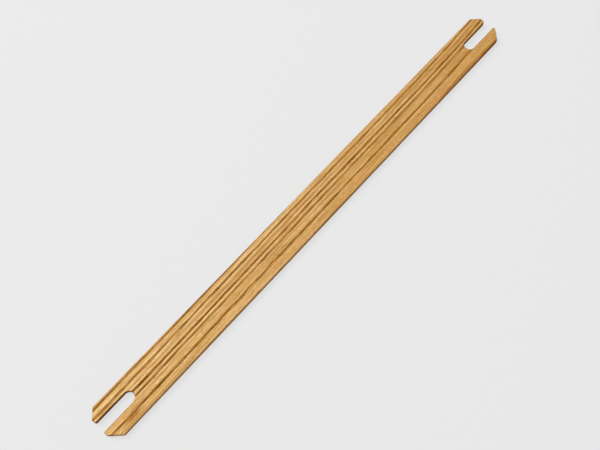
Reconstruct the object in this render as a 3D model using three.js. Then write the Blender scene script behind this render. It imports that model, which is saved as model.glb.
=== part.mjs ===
// A stick shuttle for hand weaving: one flat strip of hardwood with a round-bottomed slot sawn into each end.
// The yarn is wound lengthwise, through one slot, along the strip and through the other.
//
// Millimetres, +Z up. The stick lies flat on its underside, along X, with the origin in the middle of the
// underside. The near end is at -X and the far end at +X. Seen from the near end, the left edge is at +Y and
// the right edge at -Y.

import * as THREE from "three";

// The strip
const stickLength = 560;
const stickWidth = 38;
const stickThickness = 6;

// The slots: one cutter makes both, and each lies a little off the middle of the width, towards +Y if positive
const slotWidth = 11;
const slotDepth = 40;
const nearSlotShift = 1.2;
const farSlotShift = -0.6;

// The blunt tip that is left on each prong, beside its slot, by the 45 degree cut off the stick's corner
const nearLeftTip = 4.3;
const nearRightTip = 4.2;
const farLeftTip = 6.1;
const farRightTip = 2.4;

// The sanding: the radius along every arris, and how much rounder than that the outline's own corners are
const edgeRound = 1;
const cornerRound = 0.4;
const softCornerRound = 2;

// How finely the arcs are cut into flats, and the distance under which two points of the outline are one
const outlineStep = THREE.MathUtils.degToRad(9);
const edgeSteps = 5;
const samePoint = 0.001;

const corner = (x, y, radius) => ({ at: new THREE.Vector2(x, y), radius });

// The corners of one end, from the right edge round to the left one. The side is +1 at the far end and -1 at
// the near end. The left inner corner is where the left prong's tip meets the slot.
function endCorners({ side, slotShift, leftTip, rightTip, leftInnerRound }) {
  const end = (side * stickLength) / 2;
  const bottom = end - side * slotDepth;
  const edge = stickWidth / 2;
  const slotLeft = slotShift + slotWidth / 2;
  const slotRight = slotShift - slotWidth / 2;
  const leftCut = edge - slotLeft - leftTip;
  const rightCut = edge + slotRight - rightTip;
  const sharp = edgeRound + cornerRound;
  return [
    corner(end - side * rightCut, -edge, sharp),
    corner(end, slotRight - rightTip, sharp),
    corner(end, slotRight, sharp),
    corner(bottom, slotRight, slotWidth / 2),
    corner(bottom, slotLeft, slotWidth / 2),
    corner(end, slotLeft, edgeRound + leftInnerRound),
    corner(end, slotLeft + leftTip, sharp),
    corner(end - side * leftCut, edge, sharp),
  ];
}

const farEnd = endCorners({
  side: 1,
  slotShift: farSlotShift,
  leftTip: farLeftTip,
  rightTip: farRightTip,
  leftInnerRound: softCornerRound,
});

const nearEnd = endCorners({
  side: -1,
  slotShift: nearSlotShift,
  leftTip: nearLeftTip,
  rightTip: nearRightTip,
  leftInnerRound: cornerRound,
});

// The outline as points, anticlockwise, with each corner drawn as an arc of its own radius.
function roundedOutline(corners) {
  const points = [];
  corners.forEach(({ at, radius }, i) => {
    const toBefore = corners.at(i - 1).at.clone().sub(at).normalize();
    const toAfter = corners[(i + 1) % corners.length].at.clone().sub(at).normalize();
    const half = Math.acos(toBefore.dot(toAfter)) / 2;
    const centre = toBefore.clone().add(toAfter).setLength(radius / Math.sin(half)).add(at);
    const start = toBefore.clone().multiplyScalar(radius / Math.tan(half)).add(at);
    const turn = Math.sign(toAfter.cross(toBefore)) * (Math.PI - 2 * half);
    const steps = Math.ceil(Math.abs(turn) / outlineStep);
    for (let k = 0; k <= steps; k++) {
      const point = start.clone().rotateAround(centre, (turn * k) / steps);
      if (!points.length || point.distanceTo(points.at(-1)) > samePoint) points.push(point);
    }
  });
  return points;
}

// The outline drawn up through the thickness, with a quarter round along the edges of both faces.
function stickGeometry() {
  const outline = roundedOutline([...farEnd, ...nearEnd.toReversed()]);
  const geometry = new THREE.ExtrudeGeometry(new THREE.Shape(outline), {
    depth: stickThickness - 2 * edgeRound,
    bevelThickness: edgeRound,
    bevelSize: edgeRound,
    bevelOffset: -edgeRound,
    bevelSegments: edgeSteps,
  });
  return geometry.translate(0, 0, edgeRound);
}

const oiledHardwood = new THREE.MeshStandardMaterial({ color: "#c99a5c", roughness: 0.55, metalness: 0 });

const stick = new THREE.Mesh(stickGeometry(), oiledHardwood);
stick.name = "shuttle_stick";

const shuttle = new THREE.Group();
shuttle.add(stick);

export default shuttle;
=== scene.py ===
# The looks of a hand weaver's stick shuttle, a strip of oiled, open-grained hardwood, on a pale floor.
# Sizes are in millimetres here and become metres where a mesh, a lamp or the camera is made.

import math
from collections import namedtuple

import bpy
import numpy as np
from mathutils import Euler, Matrix, Vector
from mathutils.geometry import delaunay_2d_cdt
from mathutils.kdtree import KDTree


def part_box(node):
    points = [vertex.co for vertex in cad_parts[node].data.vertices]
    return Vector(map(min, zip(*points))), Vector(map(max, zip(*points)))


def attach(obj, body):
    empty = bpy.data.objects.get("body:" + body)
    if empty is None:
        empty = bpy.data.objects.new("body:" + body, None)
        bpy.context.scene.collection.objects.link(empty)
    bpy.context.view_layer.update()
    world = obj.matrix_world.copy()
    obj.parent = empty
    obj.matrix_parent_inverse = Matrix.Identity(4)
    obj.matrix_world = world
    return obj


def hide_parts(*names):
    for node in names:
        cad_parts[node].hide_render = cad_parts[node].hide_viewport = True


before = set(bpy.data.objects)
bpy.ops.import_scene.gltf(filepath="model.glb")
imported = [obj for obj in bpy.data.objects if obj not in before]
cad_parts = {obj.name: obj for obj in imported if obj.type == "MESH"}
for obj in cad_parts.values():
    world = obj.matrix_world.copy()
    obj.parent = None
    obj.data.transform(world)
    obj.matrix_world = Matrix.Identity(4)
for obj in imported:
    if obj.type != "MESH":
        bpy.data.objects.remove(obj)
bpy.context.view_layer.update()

MM = 0.001

# The stick, whose length, width and thickness are the solid's own

STICK_LOW, STICK_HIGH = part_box("shuttle_stick")
LENGTH, WIDTH, THICKNESS = ((high - low) / MM for low, high in zip(STICK_LOW, STICK_HIGH))

SLOT_WIDTH = 11
SLOT_DEPTH = 40
EDGE_ROUND = 1
CORNER_ROUND = 0.4
SOFT_CORNER_ROUND = 2

End = namedtuple("End", "side slot_shift left_tip right_tip left_inner_round")
FAR_END = End(side=1, slot_shift=-0.6, left_tip=6.1, right_tip=2.4, left_inner_round=SOFT_CORNER_ROUND)
NEAR_END = End(side=-1, slot_shift=1.2, left_tip=4.3, right_tip=4.2, left_inner_round=CORNER_ROUND)

# The growth rings. The pith lies far off to the right and below, so the rings lean through the board. Each
# ring is placed by where its dark band of open pores meets the top face, across the middle of the stick. Its
# other values say how dark that band is, and how light and how warm the wood after it.

PITH_REACH = 150
RING_LEAN = math.radians(30)
PITH = (-PITH_REACH * math.cos(RING_LEAN), THICKNESS - PITH_REACH * math.sin(RING_LEAN))

Ring = namedtuple("Ring", "place dark light warm")
RINGS = [
    Ring(place=-23.5, dark=0.9, light=0.5, warm=0.3),
    Ring(place=-9.5, dark=1.0, light=0.7, warm=0.1),
    Ring(place=-0.5, dark=0.85, light=1.0, warm=0.85),
    Ring(place=3.95, dark=1.0, light=0.35, warm=0.6),
    Ring(place=8.1, dark=0.3, light=0.4, warm=0.6),
    Ring(place=12.2, dark=0.85, light=0.7, warm=0.1),
    Ring(place=18.3, dark=0.85, light=0.5, warm=0.3),
]

# How wide the last ring is, which no other follows
LAST_RING = 6

# A dark band's width, its soft start, and how far from the start it begins to fade and is gone
BAND = 1.9
BAND_START = 0.15
BAND_FADES = 0.7 * BAND
BAND_GONE = 1.3 * BAND

# The pale fringes on both sides of each dark band: the width over which they fade out, and how far from the
# band's start the one after it begins to fade
FRINGE = 1.8
FRINGE_FADES = 1.4 * BAND

# How the rings wander to the left on their way to the far end
DRIFT_REACH = 250
DRIFT_LEAN = 1.57
DRIFT_CURL = 1.27
DRIFT_SAG = 2.3

# How far each ring strays from that over a hand's breadth, and over a finger's
SWAY = 1.5
QUIVER = 0.8

# One ring ripples on a stretch in the near half
RIPPLE = 0.6
RIPPLE_LENGTH = 31
RIPPLE_X = -102
RIPPLE_REACH = 70
RIPPLE_Y = -9
RIPPLE_HALF = 6

# The mesh's rows follow the rings, close together across each dark band, and its columns cross them
BAND_BEFORE = 0.45
BAND_AFTER = 2.2
FINE_ROW = 0.17
PLAIN_ROW = 0.6
COLUMN = 2.0
ARC_STEP = math.radians(7)
ARRIS_STEPS = 6

# The distance under which two points of the mesh are one
SAME_POINT = 0.001


def drift(x):
    """How far left the rings have wandered at x. It works on numbers, arrays and sockets."""
    t = x / DRIFT_REACH
    return t * (DRIFT_LEAN + DRIFT_CURL * t * t) - DRIFT_SAG * t * t * (1 - t * t)


def from_pith(y, z):
    """The distance from the pith, on numbers, arrays and sockets."""
    across = y - PITH[0]
    up = z - PITH[1]
    return (across * across + up * up) ** 0.5


def add_object(name, data):
    """A new object in the scene."""
    added = bpy.data.objects.new(name, data)
    bpy.context.scene.collection.objects.link(added)
    return added


# The outline


def end_corners(end):
    """The corners of one end and their radii, from the right edge round to the left one."""
    tip = end.side * LENGTH / 2
    bottom = tip - end.side * SLOT_DEPTH
    edge = WIDTH / 2
    slot_left = end.slot_shift + SLOT_WIDTH / 2
    slot_right = end.slot_shift - SLOT_WIDTH / 2
    left_cut = edge - slot_left - end.left_tip
    right_cut = edge + slot_right - end.right_tip
    sharp = EDGE_ROUND + CORNER_ROUND
    return [
        ((tip - end.side * right_cut, -edge), sharp),
        ((tip, slot_right - end.right_tip), sharp),
        ((tip, slot_right), sharp),
        ((bottom, slot_right), SLOT_WIDTH / 2),
        ((bottom, slot_left), SLOT_WIDTH / 2),
        ((tip, slot_left), EDGE_ROUND + end.left_inner_round),
        ((tip, slot_left + end.left_tip), sharp),
        ((tip - end.side * left_cut, edge), sharp),
    ]


def unit(vector):
    """The vector at a length of 1."""
    return vector / np.linalg.norm(vector)


def corner_arc(before, corner, after, radius):
    """The arc that rounds a corner, as points, and at each the direction into the wood."""
    before, corner, after = (np.array(point, float) for point in (before, corner, after))
    back = unit(before - corner)
    on = unit(after - corner)
    half = math.acos(np.clip(back @ on, -1, 1)) / 2
    centre = corner + unit(back + on) * radius / math.sin(half)
    left_turn = back[1] * on[0] - back[0] * on[1] > 0
    sweep = (math.pi - 2 * half) * (1 if left_turn else -1)
    steps = math.ceil(abs(sweep) / ARC_STEP)
    spoke = corner + back * radius / math.tan(half) - centre
    points = []
    inward = []
    for step in range(steps + 1):
        turn = sweep * step / steps
        arm = np.array((
            spoke[0] * math.cos(turn) - spoke[1] * math.sin(turn),
            spoke[0] * math.sin(turn) + spoke[1] * math.cos(turn),
        ))
        points.append(centre + arm)
        inward.append(-unit(arm) if left_turn else unit(arm))
    return points, inward


def apart(points, inward):
    """The points, and the directions at them, without those that lie on the one before."""
    keep = np.linalg.norm(points - np.roll(points, 1, axis=0), axis=1) > SAME_POINT
    return points[keep], inward[keep]


def stick_outline():
    """The outline as points, anticlockwise and at most a column apart, and the direction inward at each."""
    corners = end_corners(FAR_END) + end_corners(NEAR_END)[::-1]
    arcs = []
    for i, (corner, radius) in enumerate(corners):
        before = corners[i - 1][0]
        after = corners[(i + 1) % len(corners)][0]
        arcs.append(corner_arc(before, corner, after, radius))
    points = []
    inward = []
    for (arc, arc_inward), (next_arc, _) in zip(arcs, arcs[1:] + arcs[:1]):
        points += arc
        inward += arc_inward
        gap = next_arc[0] - arc[-1]
        reach = np.linalg.norm(gap)
        if reach > SAME_POINT:
            steps = math.ceil(reach / COLUMN)
            points += [arc[-1] + gap * step / steps for step in range(1, steps)]
            inward += [unit(np.array((-gap[1], gap[0])))] * (steps - 1)
    return apart(np.array(points), np.array(inward))


# The flat sheets that the stick is made from


def row_places(face_height):
    """Where the rows of the mesh cross the middle of the stick on a face at this height, right to left."""
    starts = []
    for ring in RINGS:
        radius = from_pith(ring.place, THICKNESS)
        starts.append(PITH[0] + math.sqrt(radius**2 - (face_height - PITH[1]) ** 2))
    rows = []
    for start, following in zip(starts, starts[1:] + [starts[-1] + LAST_RING]):
        rows += list(np.arange(start - BAND_BEFORE, start + BAND_AFTER, FINE_ROW))
        rest = following - BAND_BEFORE - rows[-1]
        shares = np.linspace(0, 1, round(rest / PLAIN_ROW) + 1)[1:-1]
        rows += [rows[-1] + rest * share for share in shares]
    return np.array(rows)


def crossings(loop, x):
    """The pairs of places at which the loop crosses the line straight across the stick at x."""
    here = loop
    there = np.roll(loop, -1, axis=0)
    cut = (here[:, 0] > x) != (there[:, 0] > x)
    here, there = here[cut], there[cut]
    share = (x - here[:, 0]) / (there[:, 0] - here[:, 0])
    return np.sort(here[:, 1] + share * (there[:, 1] - here[:, 1])).reshape(-1, 2)


def lattice(loop, rows):
    """Points inside the loop, in columns, on rows that drift with the rings, and none too near the loop."""
    near = KDTree(len(loop))
    for i, (x, y) in enumerate(loop):
        near.insert((x, y, 0), i)
    near.balance()
    count = round(LENGTH / COLUMN)
    points = []
    for x in np.linspace(-LENGTH / 2, LENGTH / 2, count + 1)[1:-1]:
        for low, high in crossings(loop, x):
            across = rows + drift(x)
            inside = across[(across > low + FINE_ROW) & (across < high - FINE_ROW)]
            points += [(x, y) for y in inside if near.find((x, y, 0))[2] > FINE_ROW]
    return np.array(points)


def arris_quads(count):
    """The faces between the loops of the arris, which have this many points each."""
    quads = []
    for outer in range(0, ARRIS_STEPS * count, count):
        inner = outer + count
        for i in range(count):
            beside = (i + 1) % count
            quads.append((outer + i, outer + beside, inner + beside, inner + i))
    return quads


def in_wood(triangle, points, count):
    """Whether a triangle lies inside the loop, whose points are the first ones and run anticlockwise."""
    first, second, third = sorted(triangle)
    along = points[second] - points[first]
    across = points[third] - points[first]
    return third >= count or along[0] * across[1] > along[1] * across[0]


def flat_triangles(points, count):
    """Triangles between the points of the flat part, of which this many, the first ones, are the loop.

    They are found with the points squeezed lengthwise, which makes them long and slim like the rings.
    """
    squeezed = [Vector(point) for point in points * (FINE_ROW / COLUMN, 1)]

    # Output type 0 fills the convex hull, so what lies outside the loop is left out afterwards
    _, _, found, sources, _, _ = delaunay_2d_cdt(squeezed, [], [list(range(count))], 0, 0, True)
    triangles = [[sources[i][0] for i in triangle] for triangle in found]
    places = np.array(squeezed, float)
    return [triangle for triangle in triangles if in_wood(triangle, places, count)]


def flat_sheet(outline, inward, face_height):
    """A sheet in the stick's outline: points, how far each has come from rim to flat face, and faces."""
    count = len(outline)
    offset = ARRIS_STEPS * count
    levels = [1 - math.cos(turn) for turn in np.linspace(0, math.pi / 2, ARRIS_STEPS + 1)]
    loops = [outline + inward * EDGE_ROUND * level for level in levels]
    flat = np.vstack([loops[-1], lattice(loops[-1], row_places(face_height))])
    points = np.vstack(loops[:-1] + [flat])
    point_levels = np.concatenate([np.repeat(levels[:-1], count), np.ones(len(flat))])
    triangles = flat_triangles(flat, count)
    faces = arris_quads(count) + [tuple(offset + i for i in triangle) for triangle in triangles]
    return points, point_levels, faces


def stick_sheets():
    """The top and bottom sheets in one mesh, each flat at its height, with the level as an attribute."""
    outline, inward = stick_outline()
    corners = []
    levels = []
    faces = []
    for height, flipped in ((THICKNESS, False), (0, True)):
        points, point_levels, sheet = flat_sheet(outline, inward, height)
        faces += [tuple(len(corners) + i for i in (face[::-1] if flipped else face)) for face in sheet]
        corners += [(x * MM, y * MM, height * MM) for x, y in points]
        levels += list(point_levels)
    mesh = bpy.data.meshes.new("shuttle_stick_wood")
    mesh.from_pydata(corners, [], faces)
    mesh.attributes.new("level", "FLOAT", "POINT").data.foreach_set("value", np.array(levels, np.float32))
    return mesh


# Node trees written as Python

# How far apart the patterns of two following seeds lie
SEED_STEP = (97.3, 41.9, 63.1)


class Socket:
    """A socket of a node tree, with arithmetic that adds Math nodes."""

    def __init__(self, tree, socket):
        self.tree = tree
        self.socket = socket

    def __add__(self, other):
        return self.tree.math("ADD", self, other)

    def __radd__(self, other):
        return self.tree.math("ADD", other, self)

    def __sub__(self, other):
        return self.tree.math("SUBTRACT", self, other)

    def __rsub__(self, other):
        return self.tree.math("SUBTRACT", other, self)

    def __mul__(self, other):
        return self.tree.math("MULTIPLY", self, other)

    def __rmul__(self, other):
        return self.tree.math("MULTIPLY", other, self)

    def __truediv__(self, other):
        return self.tree.math("DIVIDE", self, other)

    def __rtruediv__(self, other):
        return self.tree.math("DIVIDE", other, self)

    def __pow__(self, other):
        return self.tree.math("POWER", self, other)

    def __neg__(self):
        return self.tree.math("MULTIPLY", self, -1)

    def __abs__(self):
        return self.tree.math("ABSOLUTE", self)

    def __gt__(self, other):
        return self.tree.math("GREATER_THAN", self, other)


class Tree:
    """A node tree of a material, the world or Geometry Nodes. Sockets are named by their identifiers."""

    def __init__(self, nodes, links):
        self.nodes = nodes
        self.links = links

    def node(self, kind, settings=None, inputs=None):
        """Adds a node with these settings and these values or links, and returns it."""
        node = self.nodes.new(kind)
        for name, value in (settings or {}).items():
            setattr(node, name, value)
        for identifier, value in (inputs or {}).items():
            socket = next(socket for socket in node.inputs if socket.identifier == identifier)
            if isinstance(value, Socket):
                self.links.new(value.socket, socket)
            else:
                socket.default_value = value
        return node

    def out(self, node, output=0):
        """A node's output, by its identifier or its number."""
        if isinstance(output, int):
            return Socket(self, node.outputs[output])
        return Socket(self, next(socket for socket in node.outputs if socket.identifier == output))

    def math(self, operation, *values):
        """The result of a Math node."""
        names = ("Value", "Value_001", "Value_002")
        return self.out(self.node("ShaderNodeMath", {"operation": operation}, dict(zip(names, values))))

    def vector_math(self, operation, *values):
        """The result of a Vector Math node."""
        names = ("Vector", "Vector_001", "Vector_002")
        inputs = dict(zip(names, values))
        return self.out(self.node("ShaderNodeVectorMath", {"operation": operation}, inputs))

    def split(self, vector):
        """The three parts of a vector."""
        node = self.node("ShaderNodeSeparateXYZ", inputs={"Vector": vector})
        return [self.out(node, number) for number in range(3)]

    def join(self, x, y, z):
        """A vector from its three parts."""
        return self.out(self.node("ShaderNodeCombineXYZ", inputs={"X": x, "Y": y, "Z": z}))

    def ease(self, value, start, end, low=0.0, high=1.0):
        """A smooth step from low to high as the value goes from start to end, upwards or downwards."""
        inputs = {"Value": value, "From Min": start, "From Max": end, "To Min": low, "To Max": high}
        return self.out(self.node("ShaderNodeMapRange", {"interpolation_type": "SMOOTHSTEP"}, inputs))

    def mix(self, factor, first, second, blend="MIX"):
        """A mix of two colours."""
        settings = {"data_type": "RGBA", "blend_type": blend, "clamp_factor": True}
        inputs = {"Factor_Float": factor, "A_Color": first, "B_Color": second}
        return self.out(self.node("ShaderNodeMix", settings, inputs), "Result_Color")

    def in_grains(self, place, grain, seed):
        """The place in sizes of the grain, moved to where this seed's own pattern lies."""
        moved = self.vector_math("ADD", place, tuple(seed * step for step in SEED_STEP))
        return self.vector_math("DIVIDE", moved, grain)

    def noise(self, place, grain, seed, detail=2, roughness=0.5):
        """Noise from 0 to 1, mostly about 0.5, whose blots have the grain's three sizes."""
        scaled = self.in_grains(place, grain, seed)
        inputs = {"Vector": scaled, "Scale": 1.0, "Detail": detail, "Roughness": roughness}
        return self.out(self.node("ShaderNodeTexNoise", {"noise_dimensions": "3D"}, inputs))

    def patches(self, place, grain, seed, start, full, detail=3):
        """Soft patches where the noise is high, from 0 at the start to 1 where they are full."""
        return self.ease(self.noise(place, grain, seed, detail), start, full)

    def flecks(self, place, grain, seed, core, rim):
        """Scattered flecks, 1 in the core of each and 0 outside its rim, both told in sizes of the grain."""
        settings = {"voronoi_dimensions": "3D", "feature": "F1"}
        inputs = {"Vector": self.in_grains(place, grain, seed), "Scale": 1.0}
        distance = self.out(self.node("ShaderNodeTexVoronoi", settings, inputs))
        return self.ease(distance, rim, core)


def fresh_tree(owner):
    """The node tree of a new material or world, emptied."""
    owner.use_nodes = True
    owner.node_tree.nodes.clear()
    return Tree(owner.node_tree.nodes, owner.node_tree.links)


def set_surface(tree, inputs):
    """Gives a material its one shader, with these values or links."""
    shader = tree.out(tree.node("ShaderNodeBsdfPrincipled", inputs=inputs))
    tree.node("ShaderNodeOutputMaterial", inputs={"Surface": shader})


# The wood, as one field through the whole board, read by the relief and by the colours alike

# How large each pattern's blots are, along, across and through the stick
SWAY_GRAIN = (70, 9, 9)
QUIVER_GRAIN = (20, 4, 4)

# The same along the stick, across the rings and along them
CLUMP_GRAIN = (13, 2.5, 2.5)
PORE_GRAIN = (16, 0.42, 0.5)

# How dark a band still is where its pores are few, and the noise's values where they are few and many
SPARSE = 0.74
FEW_PORES = 0.34
MANY_PORES = 0.6

# The strengths of the wood's parts, and the place itself, in the rings' own directions and in the stick's
Wood = namedtuple("Wood", "early fringe light warm pores grain place")


def wood_field(tree, metres):
    """The growth rings and pores at a place in the board."""
    place = tree.vector_math("MULTIPLY", metres, (1 / MM, 1 / MM, 1 / MM))
    x, y, z = tree.split(place)
    sway = SWAY * (tree.noise(place, SWAY_GRAIN, seed=1, detail=1) - 0.5)
    quiver = QUIVER * (tree.noise(place, QUIVER_GRAIN, seed=2) - 0.5)
    here = tree.ease(abs(x - RIPPLE_X), RIPPLE_REACH, 0.0) * tree.ease(abs(y - RIPPLE_Y), RIPPLE_HALF, 0.0)
    ripple = RIPPLE * here * tree.math("SINE", x * (2 * math.pi / RIPPLE_LENGTH))
    radius = from_pith(y - drift(x) + sway + quiver + ripple, z)
    grain = tree.join(x, radius, z * math.cos(RING_LEAN) - y * math.sin(RING_LEAN))
    edges = [from_pith(ring.place, THICKNESS) for ring in RINGS]
    grown = [tree.ease(radius, edge - BAND_START, edge) for edge in edges[1:]]

    def of_ring(values):
        """The value, out of these of all rings, of the ring that the place lies in."""
        steps = zip(grown, values, values[1:])
        return sum(begun * (after - before) for begun, before, after in steps) + values[0]

    age = radius - of_ring(edges)
    to_come = of_ring(edges[1:] + [edges[-1] + LAST_RING]) - radius
    band = tree.ease(age, BAND_GONE, BAND_FADES)
    dark = of_ring([ring.dark for ring in RINGS])
    light = of_ring([ring.light for ring in RINGS])
    warm = of_ring([ring.warm for ring in RINGS])
    fringe = tree.ease(age, FRINGE_FADES + FRINGE, FRINGE_FADES) + tree.ease(to_come, FRINGE, 0.0)
    clump = tree.noise(grain, CLUMP_GRAIN, seed=3, detail=3, roughness=0.6)
    early = band * dark * tree.ease(clump, FEW_PORES, MANY_PORES, SPARSE, 1.0)
    pores = early * tree.flecks(grain, PORE_GRAIN, seed=4, core=0.5, rim=0.56)
    return Wood(early, fringe, light, warm, pores, grain, place)


# The stick in Geometry Nodes: its two sheets get rounded arrises, a wall between and the grain's relief

BAND_RECESS = 0.02
PORE_DEPTH = 0.07

# The arrises swell and thin along the stick: their least radius and what a slow noise adds to it, as shares
# of the radius that they are given
ARRIS_LEAST = 0.8
ARRIS_SWELL = 0.35
SANDING_GRAIN = (45, 45, 45)


def moved(tree, geometry, **how):
    """The geometry with its points moved in the way that these inputs say."""
    return tree.out(tree.node("GeometryNodeSetPosition", inputs={"Geometry": geometry, **how}))


def relief_tree():
    """The tree that makes the stick from its sheets, with named inputs for its sizes in metres."""
    group = bpy.data.node_groups.new("Stick from its sheets", "GeometryNodeTree")
    sockets = group.interface
    sockets.new_socket("Geometry", in_out="INPUT", socket_type="NodeSocketGeometry")
    for name in ("Thickness", "Arris Radius", "Band Recess", "Pore Depth"):
        sockets.new_socket(name, in_out="INPUT", socket_type="NodeSocketFloat")
    sockets.new_socket("Finish", in_out="INPUT", socket_type="NodeSocketMaterial")
    result = sockets.new_socket("Geometry", in_out="OUTPUT", socket_type="NodeSocketGeometry")
    tree = Tree(group.nodes, group.links)
    given = tree.node("NodeGroupInput")
    sheets, thickness, arris, recess, depth, finish = (tree.out(given, number) for number in range(6))

    # Both sheets bend towards each other at the rim, in a quarter round
    place = tree.out(tree.node("GeometryNodeInputPosition"))
    x, y, z = tree.split(place)
    flat = tree.vector_math("MULTIPLY", tree.join(x, y, 0.0), (1 / MM, 1 / MM, 1 / MM))
    radius = arris * (ARRIS_LEAST + ARRIS_SWELL * tree.noise(flat, SANDING_GRAIN, seed=6))
    level = tree.out(tree.node("GeometryNodeInputNamedAttribute", {"data_type": "FLOAT"}, {"Name": "level"}))
    shy = 1 - level
    drop = radius * (1 - (1 - shy * shy) ** 0.5)
    upper = z > thickness / 2
    bent = moved(tree, sheets, Offset=tree.join(0.0, 0.0, drop * (1 - 2 * upper)))

    # The wall is drawn down from the upper sheet's rim, and its foot is seated on the lower sheet's rim
    sides = tree.out(tree.node("GeometryNodeInputMeshEdgeNeighbors"))
    rim = (2 - sides) * upper
    down = tree.join(0.0, 0.0, -1.0)
    wall = tree.node(
        "GeometryNodeExtrudeMesh",
        {"mode": "EDGES"},
        {"Mesh": bent, "Selection": rim, "Offset": down, "Offset Scale": thickness / 2},
    )
    foot = tree.out(wall, "Top")
    seated = moved(tree, tree.out(wall), Selection=foot, Position=tree.join(x, y, radius))
    merging = {"Geometry": seated, "Distance": 2 * SAME_POINT * MM}
    whole = tree.out(tree.node("GeometryNodeMergeByDistance", inputs=merging))

    # The grain is carved into it all
    wood = wood_field(tree, place)
    sunk = wood.early * recess + wood.pores * depth
    normal = tree.out(tree.node("GeometryNodeInputNormal"))
    carved = moved(tree, whole, Offset=tree.vector_math("MULTIPLY", normal, tree.join(-sunk, -sunk, -sunk)))
    smooth = tree.out(tree.node("GeometryNodeSetShadeSmooth", inputs={"Geometry": carved}))
    real = tree.out(tree.node("GeometryNodeRealizeInstances", inputs={"Geometry": smooth}))
    done = tree.out(tree.node("GeometryNodeSetMaterial", inputs={"Geometry": real, "Material": finish}))
    tree.node("NodeGroupOutput", inputs={result.identifier: done})
    return group


def shape_stick(finish):
    """The stick as one plain mesh."""
    mesh = stick_sheets()
    mesh.materials.append(finish)
    sheets = add_object("sheets", mesh)
    shaping = sheets.modifiers.new("Shaping", "NODES")
    shaping.node_group = relief_tree()
    sizes = {
        "Thickness": THICKNESS * MM,
        "Arris Radius": EDGE_ROUND * MM,
        "Band Recess": BAND_RECESS * MM,
        "Pore Depth": PORE_DEPTH * MM,
        "Finish": finish,
    }
    for socket in shaping.node_group.interface.items_tree:
        if socket.in_out == "INPUT" and socket.name in sizes:
            shaping[socket.identifier] = sizes[socket.name]
    evaluated = sheets.evaluated_get(bpy.context.evaluated_depsgraph_get())
    solid = bpy.data.meshes.new_from_object(evaluated)
    bpy.data.objects.remove(sheets)
    return add_object("oiled_stick", solid)


# The finish

STRAW = (0.87, 0.58, 0.26, 1)
HONEY = (0.6, 0.32, 0.097, 1)
RUSSET = (0.64, 0.27, 0.075, 1)
OLIVE = (0.56, 0.36, 0.09, 1)
EARLYWOOD = (0.385, 0.138, 0.003, 1)
OPEN_PORE = (0.07, 0.017, 0.001, 1)
RAY = (0.27, 0.1, 0.012, 1)
GLINT = (0.95, 0.68, 0.36, 1)
# Wood darkened by the oil it drank; on the arrises this is also painted shade
SOAKED_AND_SHADED = (0.6, 0.44, 0.3, 1)
# Painted shade on the walls that turn away from the light
PAINTED_WALL_SHADE = (0.46, 0.38, 0.29, 1)
# Painted shade in the slots, together with the darker tone of sawn wood
SAWN_AND_SHADED = (0.42, 0.32, 0.24, 1)
STAINED = (0.425, 0.175, 0.036, 1)
WARM_SHEEN = (1.0, 0.65, 0.25, 1)
SHEEN_LEVEL = 0.28

# How large the blots of the fine figure are, along the stick, across the rings and along them
FIBRE_GRAIN = (70, 0.22, 0.4)
THREAD_GRAIN = (36, 0.6, 1.2)
STREAK_GRAIN = (90, 1.3, 4)
WISP_GRAIN = (30, 0.6, 1.2)
RAY_GRAIN = (8, 0.36, 0.4)
GLINT_GRAIN = (5, 0.4, 0.5)
BLUSH_GRAIN = (24, 2.6, 5)
MOSS_GRAIN = (20, 2.4, 5)
SMUDGE_GRAIN = (8, 1.2, 2)

# How strongly each part shows in the faces, at the near end and at the far end
# The near end's paleness is partly paler wood and partly a painted sheen of the lamp's reflection
PALENESS_AND_SHEEN = (0.2, -0.3)
FRINGES = (0.5, 0.25)
STREAKS = (2.8, 2.3)
DARK_BANDS = (1.0, 0.8)
PORES = (0.8, 0.65)
GLINTS = (0.55, 0.35)
THREADS = (1.0, 0.75)

# How strongly these show all along the stick
LIGHT_RINGS = 0.3
WISPS = 0.4
STAINING = 0.8
RAYS = 0.6
FIBRES = 0.58

# How strongly these show in the coolest rings and in the warmest ones
BLUSH = (0.3, 0.8)
MOSS = (0.75, 0.25)

# The tone of the finest threads, whose dark ones are also warmer than the pale ones
EVEN_TONE = (1.02, 1.02, 1.02)
SWING_BY_COLOUR = (1.05, 1.17, 1.5)

# How strongly painted shade darkens the walls, the slots' own walls and the arrises, at the near and far end
WALL_SHADE = (1.0, 0.65)
SLOT_SHADE = (1.0, 0.3)
ARRIS_SHADE = (0.6, 0.9)

# How far from the middle of the width the slots reach. A wall turns into a slot's own between two distances
# from the middle of the stick: these two across the stick, and these two along it.
SLOT_REACH = SLOT_WIDTH / 2 + max(abs(end.slot_shift) for end in (NEAR_END, FAR_END))
SLOT_ACROSS = (SLOT_REACH + 0.9, SLOT_REACH + 0.2)
SLOT_ALONG = (LENGTH / 2 - 0.3, LENGTH / 2 - EDGE_ROUND - CORNER_ROUND)

# The roughness of the oiled wood, and how much rougher or smoother parts of it are
OILED_ROUGHNESS = 0.5
BAND_ROUGHER = 0.3
FIBRE_ROUGHER = 0.12
ARRIS_SMOOTHER = 0.06
WALL_ROUGHER = 0.35

# The heights and depths of the finest relief, which the mesh is too coarse for
FIBRE_HEIGHT = 0.012
PORE_HOLLOW = 0.05
RAY_HOLLOW = 0.015

# The stains: where each lies, how far it reaches along and across the stick, and how strong it is
Stain = namedtuple("Stain", "x y along across strength")
STAINS = [
    Stain(x=-252, y=-13.9, along=14, across=3.2, strength=2.0),
    Stain(x=-246, y=-8.9, along=30, across=1.1, strength=0.9),
    Stain(x=225, y=-17.4, along=80, across=2.2, strength=2.2),
    Stain(x=20, y=-3.8, along=34, across=1.4, strength=0.7),
    Stain(x=-50, y=-5.9, along=26, across=1.3, strength=0.8),
    Stain(x=-62, y=-3.4, along=22, across=1.2, strength=0.6),
    Stain(x=96, y=-2.6, along=30, across=1.3, strength=0.6),
]

# How far out a stain has its full strength, where its middle is at 0 and its rim at 1
STAIN_CORE = 0.2


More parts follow.
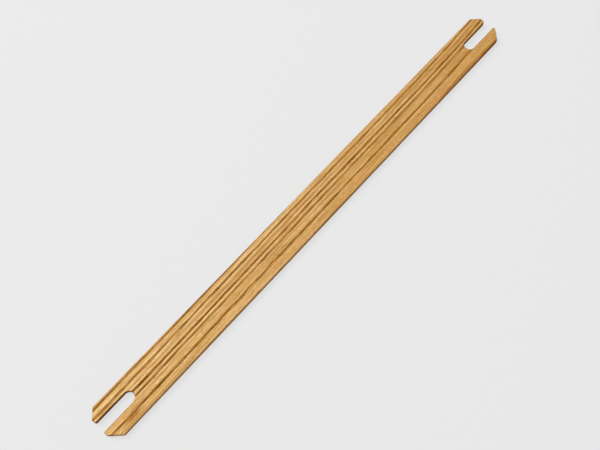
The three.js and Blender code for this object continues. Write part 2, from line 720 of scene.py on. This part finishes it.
def stain_mask(tree, place):
    """How strongly the stains colour a place, through the whole thickness."""
    x, y, _ = tree.split(place)

    def off(stain):
        """How far out the place lies, where the stain's middle is at 0 and its rim at 1."""
        return (((x - stain.x) / stain.along) ** 2 + ((y - stain.y) / stain.across) ** 2) ** 0.5

    return sum(stain.strength * tree.ease(off(stain), 1.0, STAIN_CORE) for stain in STAINS)


Figure = namedtuple("Figure", "fibres threads streaks wisps rays glints blush moss stains")


def fine_figure(tree, wood):
    """What shows between the rings, each part from 0 to 1 or more, and nearly all of it long and slim."""
    fibres = tree.noise(wood.grain, FIBRE_GRAIN, seed=7, detail=3, roughness=0.65)
    threads = tree.noise(wood.grain, THREAD_GRAIN, seed=12, detail=4, roughness=0.6)
    streaks = tree.noise(wood.grain, STREAK_GRAIN, seed=8)
    wisps = tree.patches(wood.grain, WISP_GRAIN, seed=11, start=0.55, full=0.7)
    rays = tree.flecks(wood.grain, RAY_GRAIN, seed=14, core=0.26, rim=0.31)
    glints = tree.flecks(wood.grain, GLINT_GRAIN, seed=15, core=0.22, rim=0.36)
    glints = glints * (1 - wood.early) * tree.ease(threads, 0.42, 0.6)
    blush = tree.patches(wood.grain, BLUSH_GRAIN, seed=9, start=0.48, full=0.66)
    moss = tree.patches(wood.grain, MOSS_GRAIN, seed=10, start=0.48, full=0.66)
    smudge = tree.patches(wood.grain, SMUDGE_GRAIN, seed=13, start=0.25, full=0.55, detail=2)
    stains = stain_mask(tree, wood.place) * smudge
    return Figure(fibres, threads, streaks, wisps, rays, glints, blush, moss, stains)


def face_colour(tree, wood, figure, from_to):
    """The colour of the oiled faces, livelier at the near end and paler there, partly as a painted sheen."""

    def by_warmth(cool, warm):
        """A value between that of the coolest rings and that of the warmest ones."""
        return cool + (warm - cool) * wood.warm

    # Paler towards the near end, partly as a painted sheen
    pale = LIGHT_RINGS * wood.light + from_to(*FRINGES) * wood.fringe + from_to(*PALENESS_AND_SHEEN)
    pale = pale + from_to(*STREAKS) * (figure.streaks - 0.5)
    colour = tree.mix(pale, HONEY, STRAW)
    colour = tree.mix(by_warmth(*BLUSH) * figure.blush, colour, RUSSET)
    colour = tree.mix(by_warmth(*MOSS) * figure.moss, colour, OLIVE)
    colour = tree.mix(WISPS * figure.wisps, colour, RAY)
    colour = tree.mix(STAINING * figure.stains, colour, STAINED)
    colour = tree.mix(from_to(*DARK_BANDS) * wood.early, colour, EARLYWOOD)
    colour = tree.mix(from_to(*PORES) * wood.pores, colour, OPEN_PORE)
    colour = tree.mix(RAYS * figure.rays, colour, RAY)
    colour = tree.mix(from_to(*GLINTS) * figure.glints, colour, GLINT)
    swing = FIBRES * (figure.fibres - 0.5) + from_to(*THREADS) * (figure.threads - 0.5)
    tone = tree.vector_math("MULTIPLY_ADD", swing, SWING_BY_COLOUR, EVEN_TONE)
    return tree.mix(1.0, colour, tone, "MULTIPLY")


def oiled_hardwood():
    """Golden ring-porous hardwood, sanded and oiled, with open pores in the dark bands."""
    material = bpy.data.materials.new("oiled_hardwood")
    tree = fresh_tree(material)
    where = tree.node("ShaderNodeTexCoord")
    wood = wood_field(tree, tree.out(where, "Object"))
    x, y, _ = tree.split(wood.place)
    endwise, _, upward = (abs(part) for part in tree.split(tree.out(where, "Normal")))
    level = tree.out(tree.node("ShaderNodeAttribute", {"attribute_name": "level"}), "Fac")

    def from_to(near, far):
        """A value that eases from this one at the near end to that one at the far end."""
        return tree.ease(x, -LENGTH / 2, LENGTH / 2, near, far)

    figure = fine_figure(tree, wood)
    colour = face_colour(tree, wood, figure, from_to)

    # The walls get painted shade, lighter towards the far end, and the slots' walls more of it, with the
    # darker tone of sawn wood. End grain drank more oil, and arrises get some oil and some painted shade.
    wall = tree.ease(upward, start=0.8, end=0.2)
    within = tree.ease(abs(y), *SLOT_ACROSS) * tree.ease(abs(x), *SLOT_ALONG)
    arris = tree.ease(level, start=1.0, end=0.4) * (1 - wall)
    end_grain = tree.ease(endwise, start=0.4, end=0.9)
    # Painted shade on the walls, lighter towards the far end
    colour = tree.mix(wall * tree.ease(x, 0.0, LENGTH / 2, *WALL_SHADE), colour, PAINTED_WALL_SHADE, "MULTIPLY")
    # Painted shade on the slots' walls, strongest at the near end, with the darker tone of sawn wood
    colour = tree.mix(wall * within * from_to(*SLOT_SHADE), colour, SAWN_AND_SHADED, "MULTIPLY")
    colour = tree.mix(end_grain, colour, SOAKED_AND_SHADED, "MULTIPLY")
    # The arrises: some oil darkening and some painted shade
    colour = tree.mix(arris * from_to(*ARRIS_SHADE), colour, SOAKED_AND_SHADED, "MULTIPLY")

    roughness = OILED_ROUGHNESS + BAND_ROUGHER * wood.early + FIBRE_ROUGHER * (figure.fibres - 0.5)
    roughness = roughness - ARRIS_SMOOTHER * arris + WALL_ROUGHER * wall
    height = FIBRE_HEIGHT * figure.fibres - PORE_HOLLOW * wood.pores - RAY_HOLLOW * figure.rays
    relief = {"Strength": 1.0, "Distance": MM, "Height": height}
    finish = {
        "Base Color": colour,
        "Roughness": roughness,
        "Normal": tree.out(tree.node("ShaderNodeBump", inputs=relief)),
        "Specular IOR Level": SHEEN_LEVEL,
        "Specular Tint": WARM_SHEEN,
    }
    set_surface(tree, finish)
    return material


# The studio

# The camera was fitted to the stick's outline in the photograph, and looks at a place near its middle.
AIM = Vector((-23.6, -1.3, 0))
CAMERA_AZIMUTH = math.radians(45)
CAMERA_ELEVATION = math.radians(68.6)
CAMERA_ROLL = math.radians(-3.3)
CAMERA_DISTANCE = 673.7
FOCAL_PIXELS = 698.7
PICTURE_WIDTH = 600
SENSOR_WIDTH = 36

# The one lamp, like a large window behind the stick and to its left
WINDOW_PLACE = (-1800, 1000, 2600)
WINDOW_SIZE = 2000
WINDOW_POWER = 88

# The floor glows a little, so that the stick's shadow on it stays faint
FLOOR_REACH = 60000
FLOOR_GREY = (0.14, 0.14, 0.14, 1)
FLOOR_ROUGHNESS = 0.9
FLOOR_GLOW = 0.675

# The sky overhead and at the horizon, and how high the haze starts and is full, from 0 there to 1 overhead
SKY = (0.43, 0.43, 0.43, 1)
HORIZON = (0.74, 0.74, 0.74, 1)
HAZE_STARTS = 0.4
HAZE_FULL = 0.1


def in_view(right, beyond, up):
    """The place, in metres, this far to the right of the aim and beyond it in the picture, and up."""
    return (AIM + Matrix.Rotation(-CAMERA_AZIMUTH, 3, "Z") @ Vector((right, beyond, up))) * MM


def add_camera():
    """The camera, with the photograph's view."""
    data = bpy.data.cameras.new("camera")
    data.sensor_width = SENSOR_WIDTH
    data.lens = FOCAL_PIXELS / PICTURE_WIDTH * SENSOR_WIDTH
    camera = add_object("camera", data)
    flat = CAMERA_DISTANCE * math.cos(CAMERA_ELEVATION)
    camera.location = in_view(0, -flat, CAMERA_DISTANCE * math.sin(CAMERA_ELEVATION))
    turn = Euler((math.pi / 2 - CAMERA_ELEVATION, 0, -CAMERA_AZIMUTH)).to_matrix()
    camera.rotation_euler = (turn @ Matrix.Rotation(CAMERA_ROLL, 3, "Z")).to_euler()
    bpy.context.scene.camera = camera


def add_window():
    """A square area lamp that faces the stick."""
    data = bpy.data.lights.new("window", "AREA")
    data.size = WINDOW_SIZE * MM
    data.energy = WINDOW_POWER
    lamp = add_object("window", data)
    lamp.location = in_view(*WINDOW_PLACE)
    lamp.rotation_euler = (AIM * MM - lamp.location).to_track_quat("-Z", "Y").to_euler()


def add_floor():
    """A pale floor as far as the view goes."""
    material = bpy.data.materials.new("pale_floor")
    finish = {
        "Base Color": FLOOR_GREY,
        "Roughness": FLOOR_ROUGHNESS,
        "Specular IOR Level": 0.0,
        "Emission Color": (1, 1, 1, 1),
        "Emission Strength": FLOOR_GLOW,
    }
    set_surface(fresh_tree(material), finish)
    reach = FLOOR_REACH * MM
    corners = [(-reach, -reach, 0), (reach, -reach, 0), (reach, reach, 0), (-reach, reach, 0)]
    mesh = bpy.data.meshes.new("floor")
    mesh.from_pydata(corners, [], [(0, 1, 2, 3)])
    mesh.materials.append(material)
    add_object("floor", mesh)


def add_sky():
    """A pale sky that meets the floor without a line."""
    world = bpy.data.worlds.new("sky")
    tree = fresh_tree(world)
    up = tree.split(tree.out(tree.node("ShaderNodeTexCoord"), "Generated"))[2]
    tone = tree.mix(tree.ease(up, HAZE_STARTS, HAZE_FULL), SKY, HORIZON)
    background = tree.node("ShaderNodeBackground", inputs={"Color": tone})
    tree.node("ShaderNodeOutputWorld", inputs={"Surface": tree.out(background)})
    bpy.context.scene.world = world


bpy.context.scene.view_settings.view_transform = "Standard"
add_camera()
add_sky()
add_window()
add_floor()
stick = shape_stick(oiled_hardwood())
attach(stick, "root")
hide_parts("shuttle_stick")
